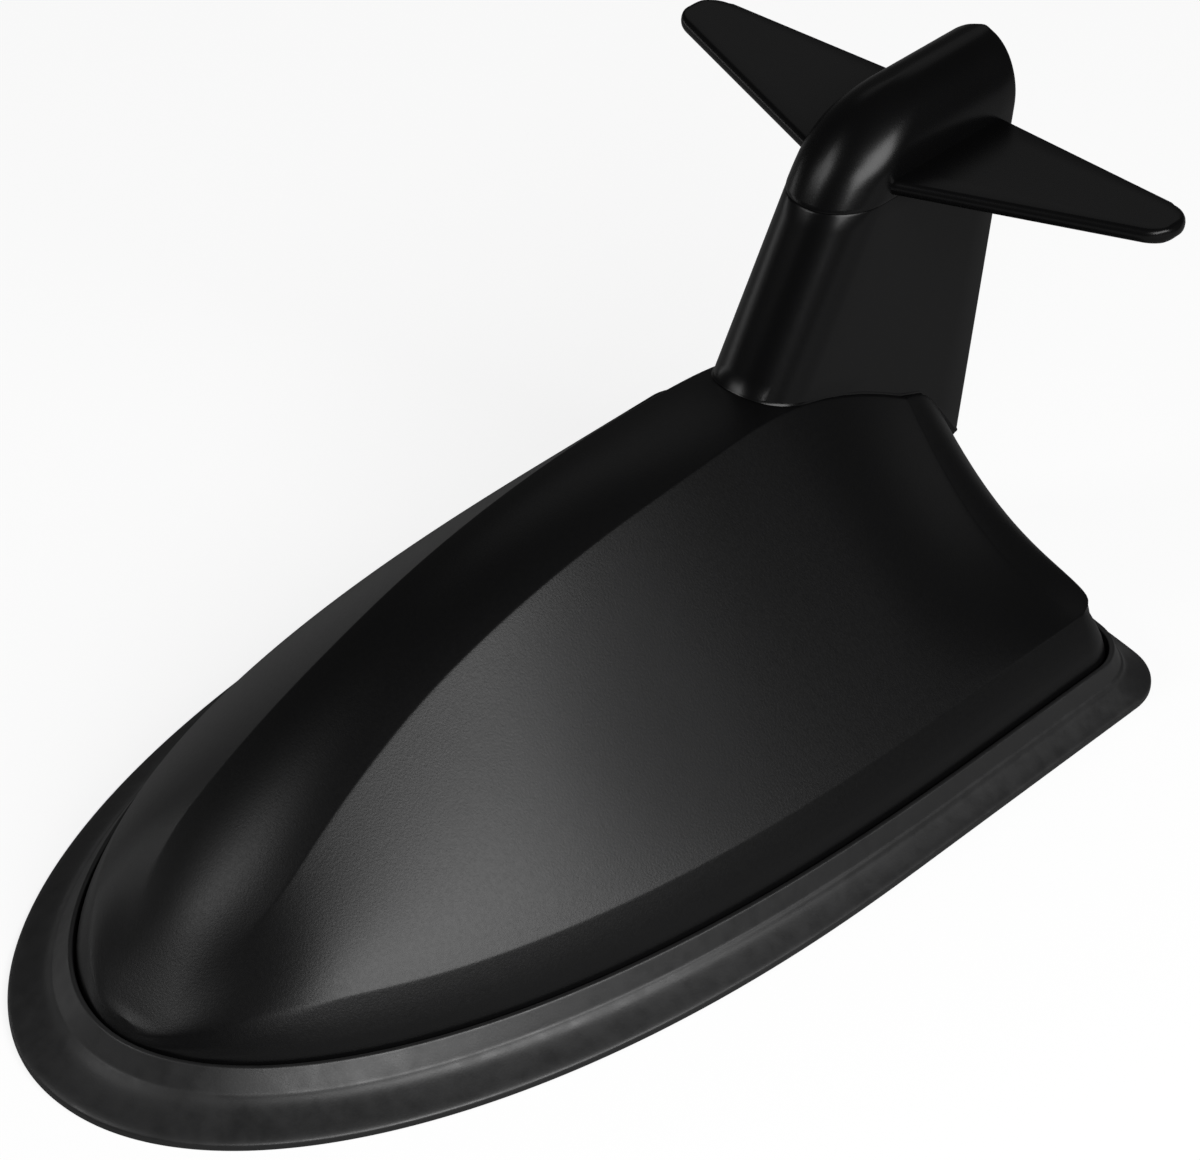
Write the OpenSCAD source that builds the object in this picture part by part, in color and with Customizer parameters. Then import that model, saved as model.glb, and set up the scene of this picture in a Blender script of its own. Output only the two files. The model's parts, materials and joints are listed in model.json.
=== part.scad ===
// Roof aerial with a fin cover and a T-shaped tail: nose toward -Y, roof face at Z = 0.

/* [Footprint] */
// Length of the rubber gasket on the roof, nose to tail
gasket_len = 162; // [140:1:185]
// Width of the rubber gasket on the roof
gasket_w = 92.9; // [80:0.1:110]
// Height of the seam where the cover leaves the gasket
collar_h = 6.2; // [5:0.1:8]
// Height of the crease between the collar and the sloped skirt
crease_h = 3.7; // [2.6:0.1:4.6]

/* [Fin cover] */
// Height of the crease between the upright band and the side face
band_h = 12.8; // [10:0.1:17]
// How far the upright band leans inward from the seam to that crease
band_in = 3.2; // [1:0.1:4]
// Height of the ridge crease just ahead of the mast
ridge_h = 43.8; // [34:0.2:52]
// Half the width of the raised spine at the mast
spine_half = 7; // [6.6:0.1:9]
// How far the spine's crown stands above the ridge creases near the nose
spine_rise = 1.6; // [0.6:0.1:3]
// Wall thickness of the moulded cover
cover_wall = 2; // [1.6:0.1:2.4]

/* [Mast and tail] */
// Thickness of the mast, side to side
mast_t = 14; // [11:0.2:14.4]
// Wall thickness of the mast
mast_wall = 1.8; // [1.4:0.1:2.2]
// Height of the crown of the tail cap
crown_h = 78.2; // [70:0.2:86]
// Height of the tail cap alone, from its seam to its crown
cap_h = 11.8; // [10.6:0.1:16]
// Span of the tailplanes, tip to tip
tail_span = 83; // [60:0.5:100]
// Thickness of each tailplane
tail_t = 2.1; // [1.4:0.1:2.6]
// Upward slope of each tailplane
tail_rise = 2.4; // [0:0.1:6]

/* [Base and electronics] */
// Thickness of the foam adhesive pad
pad_t = 1; // [0.6:0.1:1.4]
// Thickness of the base plate
plate_t = 2.2; // [1.8:0.1:2.6]
// Radius of the cable hole in the pocket roof
cable_r = 4; // [3:0.1:5]
// Number of turns of the loading coil
coil_turns = 9; // [5:1:12]
// Diameter of the coil wire
wire_d = 0.9; // [0.6:0.1:1.1]

/* [Hidden] */
$fn = 48;
rest_gap = 0.15;
soft_gap = 0.3;
seam_h = crown_h - cap_h;
y_nose = -gasket_len / 2;
y_tail = gasket_len / 2;
len_k = gasket_len / 162;
half_g = gasket_w / 2;
tail_bow = 6 * len_k;
edge_z = pad_t + plate_t;
ledge_z = pad_t + 1;
cover_half = half_g - 5.05;
cover_y0 = y_nose + 9.1 * len_k;
cover_y1 = y_tail - 5 * len_k;
mast_half = mast_t / 2;
rows_side = 26;
rows_rear = 4;

// Shared shape functions
function mix(a, b, t) = a * (1 - t) + b * t;
function clamp01(t) = min(1, max(0, t));
function ease(t) = let (u = clamp01(t)) u * u * (3 - 2 * u);
function unit(v) = norm(v) < 1e-9 ? [0, 0, 1] : v / norm(v);

// Half width of an outline that is round at the nose and straight from the shoulder back
function nose_w(y, w, y0, ym, p, q) =
    let (t = clamp01((y - y0) / (ym - y0))) w * pow(1 - pow(1 - t, p), 1 / q);

// Right half of a plan outline from the nose round to the middle of the tail
function half_outline(w, y0, ym, y1, bow, rc, p, q, ns = 24, nc = 6, nr = 6) =
    let (
        x1 = w - rc + rc * sin(14),
        yc = y1 - bow * pow(x1 / w, 2) - rc * cos(14)
    )
    concat(
        [for (i = [0:ns]) let (s = i / ns, y = y0 + (yc - y0) * s * s) [nose_w(y, w, y0, ym, p, q), y]],
        [for (i = [1:nc]) let (a = 76 * i / nc) [w - rc + rc * cos(a), yc + rc * sin(a)]],
        [for (i = [1:nr]) let (x = x1 * (1 - i / nr)) [x, y1 - bow * pow(x / w, 2)]]
    );

// Whole closed outline, nose first, counterclockwise from above
function outline(h) = concat(h, [for (i = [len(h) - 2:-1:1]) [-h[i][0], h[i][1]]]);
function ring(h, z) = [for (p = outline(h)) [p[0], p[1], z]];

// Where each outline reaches its full width, its fullness at the nose and its rear corner radius
sole_y = 22 * len_k;
sole_fit = [2.26, 2.06];
sole_r = 9;
waist_y = 34 * len_k;
waist_fit = [2.34, 2.02];
waist_r = 8;
foot_y = 41 * len_k;
foot_fit = [2.44, 1.97];
corner_r = 7;

function gasket_line(d) = half_outline(half_g - d, y_nose + d, sole_y, y_tail - d,
    tail_bow, sole_r - d * 0.4, sole_fit[0], sole_fit[1]);

module plan(h) {
    polygon(outline(h));
}

// Closed skin through rings of equal length, flat at both ends
module loft(rings) {
    n = len(rings[0]);
    m = len(rings);
    polyhedron(
        points = [for (r = rings) each r],
        faces = concat(
            [[for (i = [0:n - 1]) i]],
            [for (k = [0:m - 2]) for (i = [0:n - 1]) let (a = k * n + i, b = k * n + (i + 1) % n)
                each [[a, b + n, b], [a, a + n, b + n]]],
            [[for (i = [n - 1:-1:0]) (m - 1) * n + i]]
        )
    );
}

// Closed ring-shaped skin: the last ring joins the first
module loop_skin(rings) {
    n = len(rings[0]);
    m = len(rings);
    polyhedron(
        points = [for (r = rings) each r],
        faces = [for (k = [0:m - 1]) for (i = [0:n - 1])
            let (
                a = k * n + i,
                b = k * n + (i + 1) % n,
                c = ((k + 1) % m) * n + i,
                d = ((k + 1) % m) * n + (i + 1) % n
            )
            each [[a, d, b], [a, c, d]]]
    );
}

// Fin cover surface
ridge_y0 = cover_y0 + 2.2;
peak_y = 36.5 * len_k;
ridge_z0 = 7;
ridge_lead = 5;
tail_drop = 14.2;
tail_run = 33.5 * len_k;
// Height of the ridge crease along the length
function ridge_z(y) =
    y < peak_y
    ? mix(ridge_z0, ridge_h, 1 - pow(1 - clamp01((y - ridge_y0) / (peak_y + ridge_lead - ridge_y0)), 3))
    : ridge_h - tail_drop * pow(clamp01((y - peak_y) / tail_run), 1.75);
// Half width of the spine along the length
function ridge_x(y) = spine_half + 0.8 * (1 - ease((y / len_k - 15) / 25))
    + 2.3 * pow(max(0, (-25 - y / len_k) / 36), 1.3) + 0.5 * ease((y - peak_y) / 20);
// Rise of the spine above its creases along the length
function crest(y) = spine_rise * ease((y - ridge_y0 + 4) / 22) * (1 - 0.5 * ease((y / len_k - 8) / 26));
nose_swell = 0.7;
tail_hollow = 5.4;
// How far the side face swells beyond a straight line, falling to a hollow at the tail
function swell(y) = nose_swell * ease((y - cover_y0) / 25) * (1 - ease((y / len_k + 30) / 35))
    - tail_hollow * ease((y / len_k - 40) / 32);

corner_y = cover_y1 - tail_bow * pow((cover_half - 5.3) / cover_half, 2) - corner_r * cos(14);
last_y = corner_y;
// Station positions along the cover, closer together round the nose
function st_y(i, y0) = y0 + (last_y - y0) * pow(i / rows_side, 2);
function band_z(i) = mix(8.6, band_h, ease(st_y(i, 0) / last_y * 5));

// Share of the band's inward lean reached at a share of its height
function band_lean(t) = pow(t, 1.9);

// One half section of the cover at station i, from the bottom edge up to the middle of the spine
function half_section(i) =
    let (
        yb = st_y(i, cover_y0),
        yl = st_y(i, cover_y0 + band_in),
        yr = st_y(i, ridge_y0 + 1.2),
        xb = nose_w(yb, cover_half, cover_y0, foot_y, foot_fit[0], foot_fit[1]),
        xl = nose_w(yl, cover_half - band_in, cover_y0 + band_in, foot_y, foot_fit[0], foot_fit[1]),
        zl = band_z(i),
        rise = ease((i - 2) / 6),
        xr = min(ridge_x(yr), 0.72 * xl),
        zr = max(ridge_z(yr), zl + 0.6 + 0.4 * i / rows_side),
        low = [xl, yl, zl],
        top = [xr, yr, zr],
        run = top - low,
        out = unit([run[2], 0, -run[0]]),
        h = crest(yr)
    )
    concat(
        [for (t = [0, 1 / 3, 2 / 3]) let (lean = band_lean(t))
            [mix(xb, xl, lean), mix(yb, yl, lean), mix(edge_z, zl, t)]],
        [for (k = [0:6]) let (t = k / 6, bow = 4 * t * (1 - t) * mix(1, 1.25 - 0.5 * t, rise))
            low + run * t + out * swell(yl) * bow],
        [for (k = [1:4]) let (u = 1 - k / 4) [xr * u, yr, zr + h * (1 - u * u)]]
    );

// Point on the rounded rear corner, turned by an angle and drawn in by an inset
function corner_at(a, d) =
    [cover_half - corner_r + (corner_r - d) * cos(a), corner_y + (corner_r - d) * sin(a)];
function rear_y(x, d) = cover_y1 - d - tail_bow * pow(x / cover_half, 2);
last_section = half_section(rows_side);
// Height of the rear edge, hollow from the middle to the corner
function rear_edge_z(x) = band_h + rear_hollow * pow(1 - x / (cover_half - band_in), 2.6);
corner_cols = 4;
rear_set = 1.6;
rear_narrow = 0.05;
rear_hollow = 9.5;
corner_sweep = [36, 39.7, 43.3, 47];
corner_in = [for (k = [0:3]) band_in * band_lean(k / 3)];
// Rear rows: over the rear shoulder to the rear edge
function rear_half(k) =
    let (q = k / rows_rear)
    [for (j = [0:len(last_section) - 1])
        let (
            p = last_section[j],
            turn = corner_at(corner_sweep[min(j, 3)] * q, corner_in[min(j, 3)]),
            x = p[0] * (1 - rear_narrow * q * q),
            y = mix(p[1], rear_y(x, rear_set), sin(90 * q)),
            z = mix(p[2], min(rear_edge_z(x), p[2] - 0.5), 1 - cos(90 * q))
        ) j < corner_cols ? [turn[0], turn[1], p[2]] : [x, y, z]];
rear_edge = rear_half(rows_rear);
wall_sweep = [[42, 46.7, 51.3, 56], [48, 55.3, 62.7, 70]];
// Rows down the rear wall: 0 half way, 1 at the bottom edge
function wall_half(k) =
    let (q = (k + 1) / 2)
    [for (j = [0:len(rear_edge) - 1])
        let (
            p = rear_edge[j],
            turn = corner_at(wall_sweep[k][min(j, 3)], corner_in[min(j, 3)] * (1 - q)),
            x = p[0]
        ) j < corner_cols ? [turn[0], turn[1], mix(p[2], edge_z, q)]
            : [x, rear_y(x, rear_set * (1 - q)), mix(p[2], edge_z, q)]];

cover_rows = concat(
    [for (i = [0:rows_side]) half_section(i)],
    [for (k = [1:rows_rear]) rear_half(k)],
    [wall_half(0), wall_half(1)]
);
n_rows = len(cover_rows) - 1;
n_cols = 2 * (len(cover_rows[0]) - 1);
function grid_pt(rows, i, j) =
    let (h = n_cols / 2) j <= h ? rows[i][j] : let (p = rows[i][n_cols - j]) [-p[0], p[1], p[2]];
function is_edge(i, j) = j == 0 || j == n_cols || i == n_rows;
// Outward direction at a grid point, level along the bottom edge
function grid_dir(rows, i, j) =
    let (
        du = grid_pt(rows, min(i + 1, n_rows), j) - grid_pt(rows, max(i - 1, 0), j),
        dv = grid_pt(rows, i, min(j + 1, n_cols)) - grid_pt(rows, i, max(j - 1, 0)),
        c = cross(du, dv),
        s = i == 0 || j == n_cols / 2 ? [0, c[1], c[2]] : c
    )
    i == n_rows && (j == 0 || j == n_cols) ? corner_dir(rows, j == 0 ? 1 : -1)
    : unit(is_edge(i, j) ? [s[0], s[1], 0] : s);
// Level outward direction at the two rear bottom corners
function corner_dir(rows, side) =
    let (t = rows[n_rows][1] - rows[n_rows - 1][0]) unit([side * t[1], -t[0], 0]);

// Points of a skin lying a distance inside the cover's surface
function shell_pts(rows, d) = [for (i = [0:n_rows]) for (j = [0:n_cols])
    grid_pt(rows, i, j) - (d == 0 ? [0, 0, 0] : d * grid_dir(rows, i, j))];
function gi(i, j) = (i == 0 && j > n_cols / 2) ? n_cols - j : i * (n_cols + 1) + j;
function skin_faces(o, flip) = [for (i = [0:n_rows - 1]) for (j = [0:n_cols - 1])
    let (a = gi(i, j) + o, b = gi(i, j + 1) + o, c = gi(i + 1, j) + o, e = gi(i + 1, j + 1) + o)
    each (flip ? [[a, e, b], [a, c, e]] : [[a, b, e], [a, e, c]])];
bottom_loop = concat(
    [for (i = [0:n_rows]) gi(i, 0)],
    [for (j = [1:n_cols]) gi(n_rows, j)],
    [for (i = [n_rows - 1:-1:1]) gi(i, n_cols)]
);

// Moulded shell: outer skin, inner skin and the flat bottom rim between them
module cover_shell() {
    n = (n_rows + 1) * (n_cols + 1);
    m = len(bottom_loop);
    polyhedron(
        points = concat(shell_pts(cover_rows, 0), shell_pts(cover_rows, cover_wall)),
        faces = concat(
            skin_faces(0, false),
            skin_faces(n, true),
            [for (k = [0:m - 1]) let (a = bottom_loop[k], b = bottom_loop[(k + 1) % m])
                each [[a, b, b + n], [a, b + n, a + n]]]
        )
    );
}
// Solid block bounded by the skin at a depth, flat underneath
module cover_block(d) {
    polyhedron(
        points = shell_pts(cover_rows, d),
        faces = concat(skin_faces(0, false), [bottom_loop])
    );
}

// Fastening places
bolt_x = [0.26 * gasket_w, 0.3 * gasket_w];
bolt_y = [-56 * len_k, -22 * len_k, 40 * len_k];
cover_bolts = [[0, bolt_y[0]], for (k = [0, 1], side = [1, -1]) [side * bolt_x[k], bolt_y[k + 1]]];
boss_r = 3.3;
boss_hole = 9;
gusset = [14, 1.4];
screw_r = 1.25;
pilot_r = 1.35;
head_r = 2.8;
head_h = 1.1;
// Mast geometry
mast_y = 37.5 * len_k;
mast_len = 42.64 * len_k;
mast_foot = 44;
rake = 0.6;
back_rake = 0.16;
function mast_front(z) = mast_y + rake * (z - mast_foot);
function mast_back(z) = mast_y + mast_len + back_rake * (z - mast_foot);
// Plan section of a blade: square at the back, rounded corners in front
function blade(w, yf, yb, rx, ry, n = 6) = concat(
    [[w, yb], [-w, yb]],
    [for (i = [0:n]) let (a = 90 * i / n) [-w + rx - rx * cos(a), yf + ry - ry * sin(a)]],
    [for (i = [0:n]) let (a = 90 * i / n) [w - rx + rx * sin(a), yf + ry - ry * cos(a)]]
);
function blade_ring(w, yf, yb, rx, ry, z) = [for (p = blade(w, yf, yb, rx, ry)) [p[0], p[1], z]];
nose_rx = 5;
nose_ry = 6;
mast_low = 22;
tenon_half = mast_half - mast_wall + 0.2;
tenon_y0 = mast_y + 6 * len_k;
tenon_y1 = tenon_y0 + 22.5 * len_k;
clamp_top = 26;
clamp_t = 2;
frame_wall = 2;
slot_gap = 0.15;
tenon_lift = 0.2;
tenon_top = 50;
mast_boss = [6.4, 12];
bolt_in = 3.5;
tenon_bolts = [tenon_y0 + bolt_in, tenon_y1 - bolt_in];

board_x = 20;
board_y1 = tenon_y1 - 2;
board_len = 62 * len_k;
board_y0 = board_y1 - board_len;
board_z = 8;
board_t = 1.6;
board_top = board_z + board_t;
board_in = [3.5, 4];
board_bolts = [
    for (x = [board_x - board_in[0], board_in[0] - board_x], y = [board_y0 + board_in[1], board_y1 - board_in[1]])
        [x, y]
];

module tenon_box(grow, z0, z1) {
    translate([-tenon_half - grow, tenon_y0 - grow, z0])
        cube([2 * (tenon_half + grow), tenon_y1 - tenon_y0 + 2 * grow, z1 - z0]);
}
module inside_features() {
    for (p = cover_bolts) {
        translate([p[0], p[1], edge_z])
            cylinder(r = boss_r, h = ridge_h);
        // Gusset from the boss to the nearest wall
        if (p[0] != 0)
            translate([p[0] > 0 ? p[0] : p[0] - gusset[0], p[1] - gusset[1] / 2, edge_z + 2])
                cube([gusset[0], gusset[1], ridge_h]);
    }
    tenon_box(slot_gap + frame_wall, clamp_top, ridge_h + 4);
}
module fin_cover() {
    color("#1b1c1e")
        difference() {
            union() {
                cover_shell();
                intersection() {
                    inside_features();
                    cover_block(cover_wall / 2);
                }
            }
            tenon_box(slot_gap, 0, ridge_h + 20);
            for (p = cover_bolts)
                translate([p[0], p[1], edge_z - 1])
                    cylinder(r = pilot_r, h = boss_hole);
        }
}

module tail_mast() {
    inner_w = mast_half - mast_wall;
    color("#161719")
        difference() {
            union() {
                difference() {
                    loft([
                        for (z = [mast_low, seam_h])
                            blade_ring(mast_half, mast_front(z), mast_back(z), nose_rx, nose_ry, z)
                    ]);
                    loft([
                        for (z = [mast_low - 1, seam_h + 1])
                            blade_ring(inner_w, mast_front(z) + mast_wall, mast_back(z) - mast_wall,
                                nose_rx - mast_wall, nose_ry - mast_wall, z)
                    ]);
                    cover_block(-0.04);
                }
                difference() {
                    tenon_box(0, clamp_top + tenon_lift, tenon_top);
                    tenon_box(-mast_wall, 0, tenon_top + 10);
                }
                for (y = tenon_bolts)
                    translate([-tenon_half + 0.5, y - mast_boss[0] / 2, clamp_top + tenon_lift])
                        cube([2 * tenon_half - 1, mast_boss[0], mast_boss[1]]);
            }
            for (y = tenon_bolts)
                translate([0, y, 0])
                    cylinder(r = pilot_r, h = clamp_top + boss_hole);
        }
}

// Tail cap
arch_h = 8.6;
cap_half = mast_half + 0.12;
cap_over = 0.2;
cap_tail = 1.1;
cap_wall = 1.6;
cap_thick = 2.4;
arch_z = crown_h - arch_h;
crown_run = 18.2 * len_k;
spigot_h = 5;
// Front profile: leaves the seam at the mast's rake and curves level at the crown
function cap_front(z) =
    let (
        rise = crown_h - seam_h,
        t = 1 - sqrt(clamp01((crown_h - z) / rise)),
        y0 = mast_front(seam_h) - cap_over
    )
    y0 * pow(1 - t, 2) + 2 * (y0 + rake * rise) * t * (1 - t) + (y0 + crown_run) * t * t;
function cap_level(z) =
    let (
        up = clamp01((z - arch_z) / arch_h),
        w = max(0.3, cap_half * sqrt(1 - up * up))
    )
    blade_ring(w, cap_front(z), mast_back(z) + cap_tail, min(nose_rx, w - 0.1), nose_ry, z);
wing_le = mast_y + 19.7 * len_k;
wing_te = wing_le + 25.9 * len_k;
le_slope = 0.349;
te_slope = 0.099;
tip_r = 4.4;
tip_x = tail_span / 2 - tip_r;
tip_y = wing_le + le_slope * tip_x + tip_r * sqrt(1 + le_slope * le_slope);
wing_z = seam_h + 0.3;
module tailplane() {
    translate([0, 0, wing_z])
        rotate([0, -tail_rise, 0])
            linear_extrude(tail_t)
                polygon(concat(
                    [[0, wing_le]],
                    [for (i = [0:12]) let (a = mix(atan(le_slope) - 90, 90 - atan(te_slope), i / 12))
                        [tip_x + tip_r * cos(a), tip_y + tip_r * sin(a)]],
                    [[0, wing_te]]
                ));
}
cap_levels = concat([seam_h, arch_z], [for (a = [12:13:77]) arch_z + arch_h * sin(a)], [crown_h]);
module tail_cap() {
    inner_w = mast_half - mast_wall;
    color("#18191b")
        difference() {
            union() {
                loft([for (z = cap_levels) cap_level(z)]);
                difference() {
                    union() {
                        tailplane();
                        mirror([1, 0, 0])
                            tailplane();
                    }
                    translate([1 - mast_half, wing_le - 6, seam_h - spigot_h])
                        cube([mast_t - 2, wing_te - wing_le + 12, 4 * spigot_h]);
                }
                loft([
                    for (z = [seam_h - spigot_h, seam_h + 1])
                        blade_ring(inner_w - rest_gap, mast_front(z) + mast_wall + rest_gap,
                            mast_back(z) - mast_wall - rest_gap, nose_rx - mast_wall, nose_ry - mast_wall, z)
                ]);
            }
            loft([
                for (z = [seam_h - spigot_h - 1, arch_z])
                    blade_ring(inner_w - cap_wall, mast_front(min(z, seam_h + 2)) + mast_wall + cap_thick,
                        mast_back(z) - mast_wall - 2, 2, 2, z)
            ]);
        }
}

// Gasket
waist_out = 1.7;
waist_front = 3;
lip_z = [0.8, 1.2];
lip_in = 0.4;
ledge_in = 3.4;
sole_in = 1;
collar_out = [1.05, 0.85];
collar_edge = 0.15;
function waist_line() = half_outline(cover_half + waist_out, cover_y0 - waist_front, waist_y,
    cover_y1 + waist_out,
    tail_bow, waist_r, waist_fit[0], waist_fit[1]);
function cover_out(d) = half_outline(cover_half + d, cover_y0 - d, foot_y, cover_y1 + d,
    tail_bow, max(2, corner_r + d), foot_fit[0], foot_fit[1]);
module gasket() {
    color("#2b2c2e")
        loop_skin([
            ring(gasket_line(0), 0),
            ring(gasket_line(0), lip_z[0]),
            ring(gasket_line(lip_in), lip_z[1]),
            ring(waist_line(), crease_h),
            ring(cover_out(collar_out[0]), collar_h - collar_edge),
            ring(cover_out(collar_out[1]), collar_h),
            ring(cover_out(soft_gap), collar_h),
            ring(cover_out(soft_gap), edge_z),
            ring(cover_out(-ledge_in), edge_z),
            ring(cover_out(-ledge_in), ledge_z),
            ring(cover_out(-sole_in), ledge_z),
            ring(cover_out(-sole_in), 0)
        ]);
}

// Base plate
pocket_x = 12;
pocket_y0 = -46 * len_k;
pocket_y1 = -6 * len_k;
pocket_h = 12.4;
pocket_wall = 1.6;
pocket_r = 5;
cable_y = pocket_y1 - 8;
post_r = 2.6;
bore_r = 1.6;
flange = 1.6;
flange_t = 1;
module pocket_plan(d) {
    offset(r = pocket_r - d)
        translate([-pocket_x + pocket_r, pocket_y0 + pocket_r])
            square([2 * (pocket_x - pocket_r), pocket_y1 - pocket_y0 - 2 * pocket_r]);
}
module base_plate() {
    color("#202123")
        difference() {
            union() {
                translate([0, 0, pad_t])
                    linear_extrude(ledge_z - pad_t)
                        plan(cover_out(-sole_in - soft_gap));
                translate([0, 0, pad_t])
                    linear_extrude(plate_t)
                        plan(cover_out(-ledge_in - soft_gap));
                translate([0, 0, pad_t])
                    linear_extrude(pocket_h - pad_t)
                        pocket_plan(0);
                for (p = board_bolts)
                    translate([p[0], p[1], pad_t])
                        cylinder(r = post_r, h = board_z - pad_t);
            }
            translate([0, 0, -1])
                linear_extrude(pocket_h - pocket_wall + 1)
                    pocket_plan(pocket_wall);
            translate([0, cable_y, 0])
                cylinder(r = cable_r, h = pocket_h + 1);
            for (p = cover_bolts)
                translate([p[0], p[1], 0]) {
                    cylinder(r = screw_r + 0.3, h = boss_hole);
                    cylinder(r = head_r + 0.2, h = pad_t + head_h + 0.1);
                }
            for (p = board_bolts)
                translate([p[0], p[1], edge_z])
                    cylinder(r = pilot_r - 0.1, h = boss_hole);
        }
}
module adhesive_pad() {
    color("#3a3b3d")
        linear_extrude(pad_t)
            difference() {
                plan(cover_out(-sole_in - soft_gap));
                pocket_plan(-0.4);
            }
}
module cable_grommet() {
    color("#252628")
        translate([0, cable_y, 0])
            difference() {
                union() {
                    translate([0, 0, pocket_h - pocket_wall - flange_t])
                        cylinder(r = cable_r + flange, h = flange_t);
                    translate([0, 0, pocket_h - pocket_wall - flange_t])
                        cylinder(r = cable_r - rest_gap, h = pocket_wall + 2 * flange_t);
                    translate([0, 0, pocket_h])
                        cylinder(r1 = cable_r + flange, r2 = cable_r + flange - 1, h = 1.4 * flange_t);
                }
                cylinder(r = bore_r, h = ridge_h);
            }
}

// Electronics
module circuit_board() {
    color("#1f5c38")
        translate([0, 0, board_z])
            difference() {
                linear_extrude(board_t)
                    translate([-board_x, board_y0])
                        square([2 * board_x, board_y1 - board_y0]);
                for (p = board_bolts)
                    translate([p[0], p[1], -1])
                        cylinder(r = screw_r + 0.2, h = board_t + 2);
            }
}
can_x = 9;
can_y0 = board_y0 + 20 * len_k;
can_y1 = can_y0 + 20 * len_k;
can_h = 4.2;
can_t = 0.4;
vent_r = 0.7;
vent_pitch = 3;
module shield_can() {
    color("#b9bcc0")
        translate([-can_x, can_y0, board_top])
            difference() {
                cube([2 * can_x, can_y1 - can_y0, can_h]);
                translate([can_t, can_t, -1])
                    cube([2 * (can_x - can_t), can_y1 - can_y0 - 2 * can_t, can_h - can_t + 1]);
                for (i = [-2:2])
                    translate([can_x + i * vent_pitch, (can_y1 - can_y0) / 2, 0])
                        cylinder(r = vent_r, h = can_h + 1);
            }
}
chip = [6, 5, 1.6];
module amplifier_chip() {
    color("#17181a")
        translate([-chip[0] / 2, can_y0 + 7 * len_k, board_top])
            cube(chip);
}
capacitor = [1.6, 2.2, 1.1];
module capacitors() {
    color("#b58a52")
        for (p = [[-6.4, 5], [-6.4, 9], [-6.4, 13], [5, 5], [5, 13]])
            translate([p[0], can_y0 + p[1] * len_k, board_top])
                cube(capacitor);
}
choke_r = 3;
choke_h = 4.2;
choke_rim = 0.8;
module choke() {
    color("#3c3d40")
        translate([board_x - 6.5, can_y1 + 4, board_top])
            rotate_extrude()
                polygon(let (r = choke_r, h = choke_h, c = choke_rim) [
                    [0, 0], [r, 0], [r, c], [r - c, 1.5 * c], [r - c, h - 1.5 * c], [r, h - c], [r, h], [0, h]
                ]);
}
former_r = 3.2;
former_x = 6 - board_x;
former_y0 = board_y0 + 22 * len_k;
former_len = 20 * len_k;
former_z = board_top + 5;
cheek = [9, 1.6, 9.5];
module coil_former() {
    color("#d8d4c6")
        difference() {
            union() {
                translate([former_x, former_y0, former_z])
                    rotate([-90, 0, 0])
                        cylinder(r = former_r, h = former_len);
                for (y = [former_y0 - cheek[1], former_y0 + former_len])
                    translate([former_x - cheek[0] / 2, y, board_top])
                        cube(cheek);
            }
            translate([former_x, former_y0 - 4, former_z])
                rotate([-90, 0, 0])
                    cylinder(r = former_r - 1.2, h = former_len + 8);
        }
}
coil_r = former_r + wire_d / 2 + 0.05;
coil_pitch = (former_len - 3) / coil_turns;
coil_steps = 18;
module loading_coil() {
    n = coil_turns * coil_steps;
    k = 8;
    color("#b87440")
        translate([former_x, former_y0 + 1.5, former_z])
            rotate([-90, 0, 0])
                loft([
                    for (i = [0:n])
                        let (a = 360 * i / coil_steps, z = coil_pitch * i / coil_steps)
                        [for (j = [k - 1:-1:0]) let (b = 360 * j / k, r = coil_r + wire_d / 2 * cos(b))
                            [r * cos(a), r * sin(a), z + wire_d / 2 * sin(b)]]
                ]);
}
strip_t = 0.8;
strip_side = 1.05;
strip_w = tenon_y1 - tenon_y0 - 2 * bolt_in - mast_boss[0] - 2 * strip_side;
strip_y0 = (tenon_y0 + tenon_y1 - strip_w) / 2;
strip_y1 = strip_y0 + strip_w;
strip_top = seam_h - spigot_h - 0.4;
module mast_strip() {
    color("#c8a24a")
        difference() {
            translate([-strip_t / 2, strip_y0, board_top + 1])
                cube([strip_t, strip_y1 - strip_y0, strip_top - board_top - 1]);
            for (z = [34:8:strip_top - 3])
                translate([-2, (strip_y0 + strip_y1) / 2, z])
                    rotate([0, 90, 0])
                        cylinder(r = 1, h = 4);
        }
}
clip_gap = 0.02;
module strip_clip() {
    color("#cfd2d6")
        difference() {
            translate([-2.4, strip_y0 - 1, board_top])
                cube([4.8, strip_y1 - strip_y0 + 2, 6]);
            translate([-strip_t / 2 - clip_gap, strip_y0 - 3, board_top + 1])
                cube([strip_t + 2 * clip_gap, strip_y1 - strip_y0 + 6, 9]);
            translate([-1.7, strip_y0 - 3, board_top + 1])
                cube([3.4, strip_y1 - strip_y0 + 6, 2.4]);
        }
}
module cable_socket() {
    color("#c9a85a")
        translate([4, board_y0 + 1, board_top])
            union() {
                cube([7, 7, 6]);
                translate([3.5, 0.5, 3])
                    rotate([90, 0, 0])
                        difference() {
                            cylinder(r = 2.4, h = 5.5);
                            translate([0, 0, 1])
                                cylinder(r = 1.7, h = 6);
                        }
            }
}
term_x = -7;
term_y = board_y0 + 6;
module lead_terminal() {
    color("#c8a24a")
        difference() {
            translate([term_x - 3, term_y - 3, board_top])
                cube([6, 6, 6.4]);
            translate([term_x, term_y - 5, board_top + 2.2])
                rotate([-90, 0, 0])
                    cylinder(r = 1.3, h = 10);
            translate([term_x, term_y, board_top + 2.2])
                cylinder(r = pilot_r, h = boss_hole);
        }
}
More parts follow.
